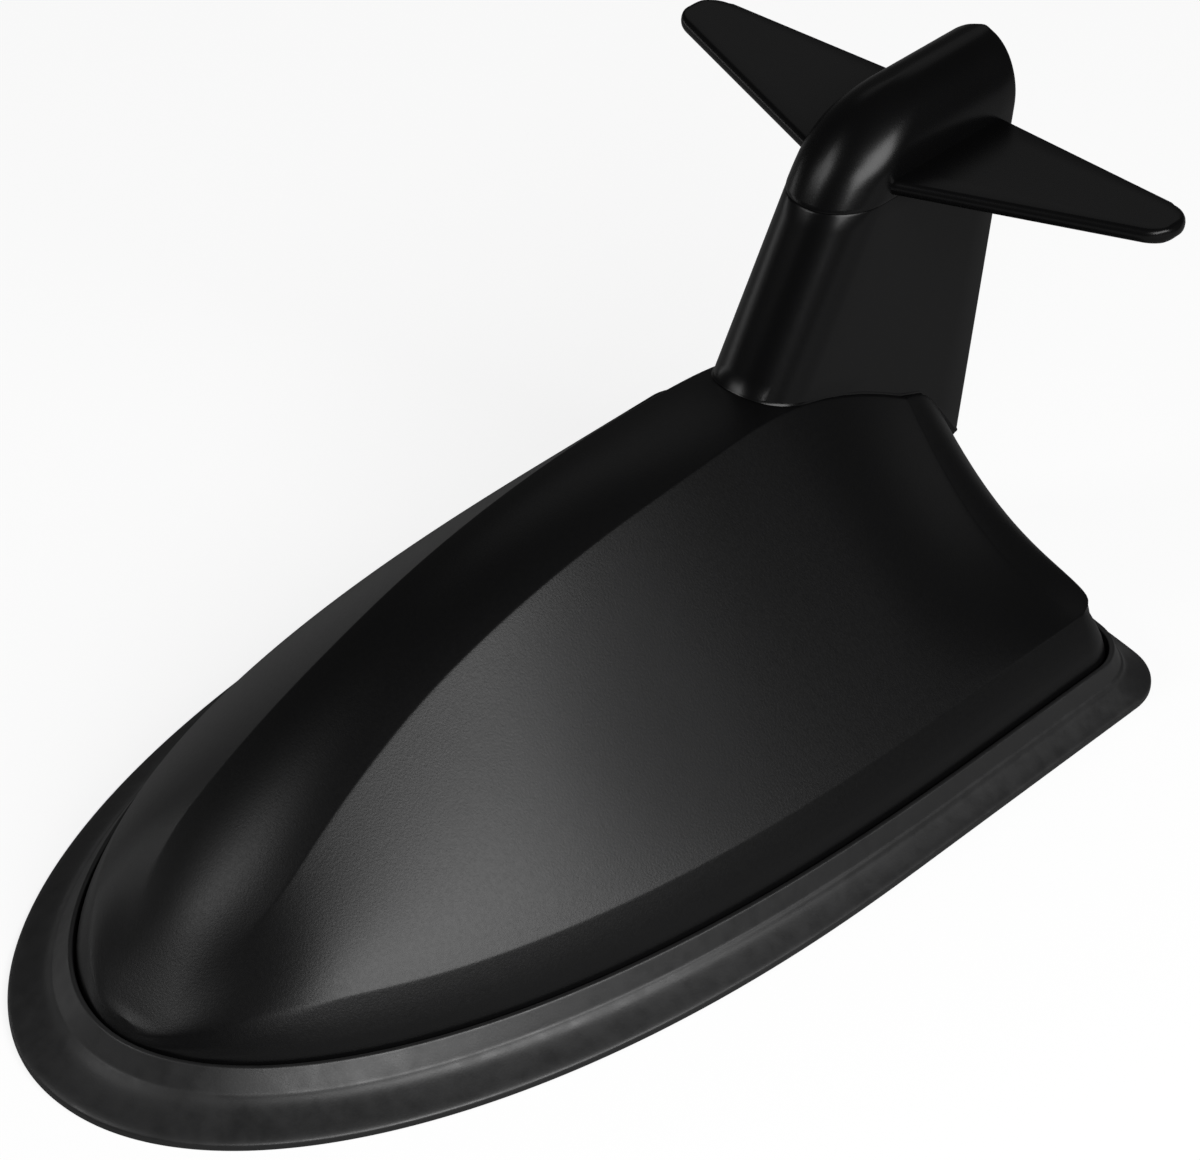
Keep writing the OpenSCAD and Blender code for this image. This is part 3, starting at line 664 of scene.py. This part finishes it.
def wing_section(le, te, mid_z, h, r):
    """Section across a tailplane in y and z, with round edges."""
    line = []
    for k in range(9):
        a = math.radians(90 + 22.5 * k)
        line.append((le + r + r * math.cos(a), mid_z + h * math.sin(a)))
    for k in range(1, 6):
        line.append((mix(le + r, te - r, k / 6), mid_z - h))
    for k in range(9):
        a = math.radians(-90 + 22.5 * k)
        line.append((te - r + r * math.cos(a), mid_z + h * math.sin(a)))
    for k in range(1, 6):
        line.append((mix(te - r, le + r, k / 6), mid_z + h))
    return line


def build_wing(side):
    """Plate with rounded edges, started inside the cap."""
    end = SPAN / 2
    half_t = TAIL_T / 2
    stations = [mix(CAP_HALF - WING_ROOT_IN, TIP_X, k / WING_STEPS) for k in range(WING_STEPS + 1)]
    stations += [TIP_X + (TIP_R - 0.01) * math.sin(math.radians(a)) for a in range(8, 91, 6)]
    rings = []
    for x in stations:
        le, te = wing_edges(min(x, end - 0.01))
        thin = clamp01((end - x) / half_t)
        h = half_t * math.sqrt(max(0.0004, 1 - (1 - thin) ** 2))
        r = min(half_t * 0.9, max(te - le, 0.05) / 2)
        mid_z = WING_Z + half_t + math.tan(math.radians(TAIL_RISE)) * x
        rings.append([Vector((side * x, y, z)) for y, z in wing_section(le, te, mid_z, h, r)])
    return capped_loft(rings)


cap = new_piece("cap_skin", *build_cap(), "cap_black", ["tail_cap"])
for side, name in ((1, "tailplane_left"), (-1, "tailplane_right")):
    wing = new_piece(name, *build_wing(side), "cap_black")
    join = cap.modifiers.new(name, "BOOLEAN")
    join.operation = "UNION"
    join.solver = "EXACT"
    join.object = wing
    bpy.context.view_layer.objects.active = cap
    bpy.ops.object.modifier_apply(modifier=name)
    bpy.data.objects.remove(wing)


# Materials
def node_tree(name):
    mat = bpy.data.materials.new(name)
    mat.use_nodes = True
    nt = mat.node_tree
    return mat, nt, nt.nodes["Principled BSDF"]


def add(nt, kind, **values):
    node = nt.nodes.new(kind)
    for key, value in values.items():
        if key in node.inputs:
            node.inputs[key].default_value = value
        else:
            setattr(node, key, value)
    return node


def noise(nt, coord, scale, detail=3.0, roughness=0.55):
    node = add(nt, "ShaderNodeTexNoise", Scale=scale, Detail=detail, Roughness=roughness)
    nt.links.new(coord, node.inputs["Vector"])
    return node.outputs["Fac"]


def remap(nt, value, low, high, in_low=0.3, in_high=0.7):
    node = add(nt, "ShaderNodeMapRange")
    node.inputs["From Min"].default_value = in_low
    node.inputs["From Max"].default_value = in_high
    node.inputs["To Min"].default_value = low
    node.inputs["To Max"].default_value = high
    nt.links.new(value, node.inputs["Value"])
    return node.outputs["Result"]


def two_tone(nt, fac, a, b):
    node = add(nt, "ShaderNodeMix", data_type="RGBA")
    tones = [s for s in node.inputs if s.type == "RGBA"]
    tones[0].default_value = (*a, 1)
    tones[1].default_value = (*b, 1)
    nt.links.new(fac, node.inputs["Factor"])
    return next(s for s in node.outputs if s.type == "RGBA")


def bump(nt, bsdf, layers):
    """Chains bump layers of (height, strength, distance in metres)."""
    last = None
    for height, strength, distance in layers:
        node = add(nt, "ShaderNodeBump", Strength=strength, Distance=distance)
        nt.links.new(height, node.inputs["Height"])
        if last:
            nt.links.new(last, node.inputs["Normal"])
        last = node.outputs["Normal"]
    nt.links.new(last, bsdf.inputs["Normal"])


def scaled(colour, share):
    return tuple(c * share for c in colour)


def moulded(name, colour, rough, grain=0.25, depth=0.02, spread=0.02, specular=0.5):
    """Moulded plastic: spark-eroded grain, faint flow marks and uneven sheen."""
    mat, nt, bsdf = node_tree(name)
    coord = add(nt, "ShaderNodeTexCoord").outputs["Object"]
    fine = noise(nt, coord, 1 / (grain * MM), 2, 0.6)
    broad = noise(nt, coord, 35, 4, 0.5)
    tone = two_tone(nt, remap(nt, broad, 0, 1), colour, scaled(colour, 1.35))
    sheen = remap(nt, noise(nt, coord, 1800, 3, 0.6), rough - spread, rough + spread)
    nt.links.new(tone, bsdf.inputs["Base Color"])
    nt.links.new(sheen, bsdf.inputs["Roughness"])
    bsdf.inputs["Specular IOR Level"].default_value = specular
    bump(nt, bsdf, [(fine, 0.5, depth * MM), (broad, 0.1, 0.03 * MM)])
    return mat


def rubber(name, colour, rough, specular=0.4):
    """Moulded rubber: dull, with bloom and fine pits."""
    mat, nt, bsdf = node_tree(name)
    coord = add(nt, "ShaderNodeTexCoord").outputs["Object"]
    bloom = noise(nt, coord, 60, 6, 0.65)
    tone = two_tone(nt, remap(nt, bloom, 0, 1, 0.35, 0.75), colour, scaled(colour, 1.25))
    sheen = remap(nt, noise(nt, coord, 400, 3), rough - 0.06, rough + 0.06)
    nt.links.new(tone, bsdf.inputs["Base Color"])
    nt.links.new(sheen, bsdf.inputs["Roughness"])
    bsdf.inputs["Specular IOR Level"].default_value = specular
    bump(nt, bsdf, [(noise(nt, coord, 3500, 3), 0.3, 0.03 * MM), (bloom, 0.08, 0.05 * MM)])
    return mat


def metal(name, colour, rough, brushed=0.0):
    """Metal with drawn or plated texture; brushed stretches the grain along Y."""
    mat, nt, bsdf = node_tree(name)
    coord = add(nt, "ShaderNodeTexCoord").outputs["Object"]
    place = add(nt, "ShaderNodeMapping")
    place.inputs["Scale"].default_value = (1, 1 - 0.93 * brushed, 1)
    nt.links.new(coord, place.inputs["Vector"])
    fine = noise(nt, place.outputs["Vector"], 4000, 3)
    broad = noise(nt, coord, 250, 4)
    tone = two_tone(nt, remap(nt, broad, 0, 1), scaled(colour, 0.82), colour)
    nt.links.new(tone, bsdf.inputs["Base Color"])
    nt.links.new(remap(nt, fine, rough - 0.08, rough + 0.1), bsdf.inputs["Roughness"])
    bsdf.inputs["Metallic"].default_value = 1.0
    bump(nt, bsdf, [(fine, 0.25, 0.01 * MM)])
    return mat


OUTER_BLACK = (0.0032, 0.0032, 0.0034)
MATERIALS = {
    "cover_black": moulded("cover_black", OUTER_BLACK, 0.36, 0.3, 0.03),
    "mast_black": moulded("mast_black", OUTER_BLACK, 0.26, 0.25, 0.003, 0.01, 0.4),
    "cap_black": moulded("cap_black", OUTER_BLACK, 0.27, 0.25, 0.003, 0.01, 0.4),
    "gasket_rubber": rubber("gasket_rubber", (0.014, 0.014, 0.0144), 0.45, specular=1.0),
    "base_plastic": moulded("base_plastic", (0.02, 0.02, 0.021), 0.45, 0.3, 0.02),
    "pad_foam": rubber("pad_foam", (0.03, 0.03, 0.031), 0.85),
    "board_green": moulded("board_green", (0.012, 0.11, 0.04), 0.25, 0.6, 0.02, specular=0.6),
    "tin_plate": metal("tin_plate", (0.72, 0.73, 0.75), 0.3, 1.0),
    "former_plastic": moulded("former_plastic", (0.62, 0.58, 0.5), 0.4, 0.4, 0.02),
    "coil_copper": metal("coil_copper", (0.72, 0.3, 0.13), 0.22),
    "strip_brass": metal("strip_brass", (0.76, 0.56, 0.24), 0.3, 1.0),
    "spring_tin": metal("spring_tin", (0.74, 0.75, 0.77), 0.28, 1.0),
    "socket_gold": metal("socket_gold", (0.85, 0.6, 0.22), 0.2),
    "chip_epoxy": moulded("chip_epoxy", (0.02, 0.02, 0.022), 0.5, 0.15, 0.03),
    "choke_ferrite": moulded("choke_ferrite", (0.05, 0.05, 0.055), 0.55, 0.2, 0.04),
    "capacitor_ceramic": moulded("capacitor_ceramic", (0.45, 0.28, 0.14), 0.35, 0.3, 0.02),
    "grommet_rubber": rubber("grommet_rubber", (0.02, 0.02, 0.021), 0.6),
    "terminal_brass": metal("terminal_brass", (0.76, 0.56, 0.24), 0.35),
    "screw_zinc": metal("screw_zinc", (0.66, 0.68, 0.7), 0.3),
    "clamp_steel": metal("clamp_steel", (0.55, 0.57, 0.6), 0.38, 1.0),
}


def paint(obj, slot):
    obj.data.materials.clear()
    obj.data.materials.append(MATERIALS[slot])


for row in frame["record"]["subparts"]:
    paint(frame["nodes"][row["node"]], row["material_slot"])
paint(cover, "cover_black")
paint(gasket, "gasket_rubber")
paint(mast, "mast_black")
paint(cap, "cap_black")

for mesh in (mast.data, cap.data):
    mesh.set_sharp_from_angle(angle=math.radians(32))

# Studio: strengths of the background's glow to the eye, in reflections and as light
FLOOR_GLOW = 0.84
FLOOR_SHEEN = 0.03
WORLD_LIGHT = 0.03
FLOOR_HALF = 6.0
FLOOR_GREY = 0.3


def background_glow(nt, glow, sheen):
    """Glow of the background: full to the eye and through clear parts, dim in reflections."""
    path = add(nt, "ShaderNodeLightPath")
    clear = add(nt, "ShaderNodeMath", operation="MAXIMUM")
    nt.links.new(path.outputs["Is Camera Ray"], clear.inputs[0])
    nt.links.new(path.outputs["Is Transmission Ray"], clear.inputs[1])
    seen = remap(nt, clear.outputs[0], 0, glow, 0, 1)
    glossy = remap(nt, path.outputs["Is Glossy Ray"], 0, sheen, 0, 1)
    total = add(nt, "ShaderNodeMath", operation="MAXIMUM")
    nt.links.new(seen, total.inputs[0])
    nt.links.new(glossy, total.inputs[1])
    return total.outputs[0]


def build_floor():
    mesh = bpy.data.meshes.new("floor")
    corners = [(x * FLOOR_HALF, y * FLOOR_HALF, 0) for x, y in ((-1, -1), (1, -1), (1, 1), (-1, 1))]
    mesh.from_pydata(corners, [], [(0, 1, 2, 3)])
    floor = bpy.data.objects.new("floor", mesh)
    bpy.context.scene.collection.objects.link(floor)
    mat, nt, bsdf = node_tree("floor_white")
    bsdf.inputs["Base Color"].default_value = (FLOOR_GREY, FLOOR_GREY, FLOOR_GREY, 1)
    bsdf.inputs["Roughness"].default_value = 0.9
    bsdf.inputs["Emission Color"].default_value = (1, 1, 1, 1)
    nt.links.new(background_glow(nt, FLOOR_GLOW, FLOOR_SHEEN), bsdf.inputs["Emission Strength"])
    mesh.materials.append(mat)


def build_world():
    world = bpy.data.worlds.new("studio")
    bpy.context.scene.world = world
    world.use_nodes = True
    nt = world.node_tree
    sky = nt.nodes["Background"]
    sky.inputs["Color"].default_value = (1, 1, 1, 1)
    strength = add(nt, "ShaderNodeMath", operation="MAXIMUM")
    strength.inputs[1].default_value = WORLD_LIGHT
    nt.links.new(background_glow(nt, 1, WORLD_LIGHT), strength.inputs[0])
    nt.links.new(strength.outputs[0], sky.inputs["Strength"])


def direction(azimuth, elevation):
    a, e = math.radians(azimuth), math.radians(elevation)
    return Vector((math.sin(a) * math.cos(e), -math.cos(a) * math.cos(e), math.sin(e)))


def aim(obj, target, azimuth, elevation, distance):
    """Places a light or camera round a target and turns it to face that target."""
    obj.location = target + direction(azimuth, elevation) * distance
    obj.rotation_mode = "QUATERNION"
    obj.rotation_quaternion = (target - obj.location).to_track_quat("-Z", "Y")
    bpy.context.scene.collection.objects.link(obj)


# Name, azimuth, elevation, distance, width, height and radiance of each light
LIGHT_TARGET = Vector((0, 0, 0.03))
SOFTBOXES = (
    ("key", 79.5, 38, 0.9, 0.84, 0.42, 5.0),
    ("side", -36, 42, 0.9, 0.22, 0.3, 3.6),
    ("rim", -70, 4, 0.9, 0.62, 0.1, 1.2),
    ("back", -137, 37, 1.0, 0.6, 0.4, 0.14),
)


def softbox(name, azimuth, elevation, distance, width, height, radiance):
    light = bpy.data.lights.new(name, "AREA")
    light.shape = "RECTANGLE"
    light.size, light.size_y = width, height
    light.energy = radiance * math.pi * width * height
    aim(bpy.data.objects.new(name, light), LIGHT_TARGET, azimuth, elevation, distance)


build_floor()
build_world()
for values in SOFTBOXES:
    softbox(*values)

# Camera, fitted to the photograph
AZIMUTH, ELEVATION = 43.107, 36.679
DISTANCE = 0.5668
TARGET = Vector((5.239, 7.178, 33.422)) * MM
camera_data = bpy.data.cameras.new("camera")
camera_data.lens = 135
camera_data.sensor_width = 36
camera_data.clip_start = 0.01
camera_data.clip_end = 50
camera = bpy.data.objects.new("camera", camera_data)
aim(camera, TARGET, AZIMUTH, ELEVATION, DISTANCE)
bpy.context.scene.camera = camera
bpy.context.scene.view_settings.view_transform = "Standard"
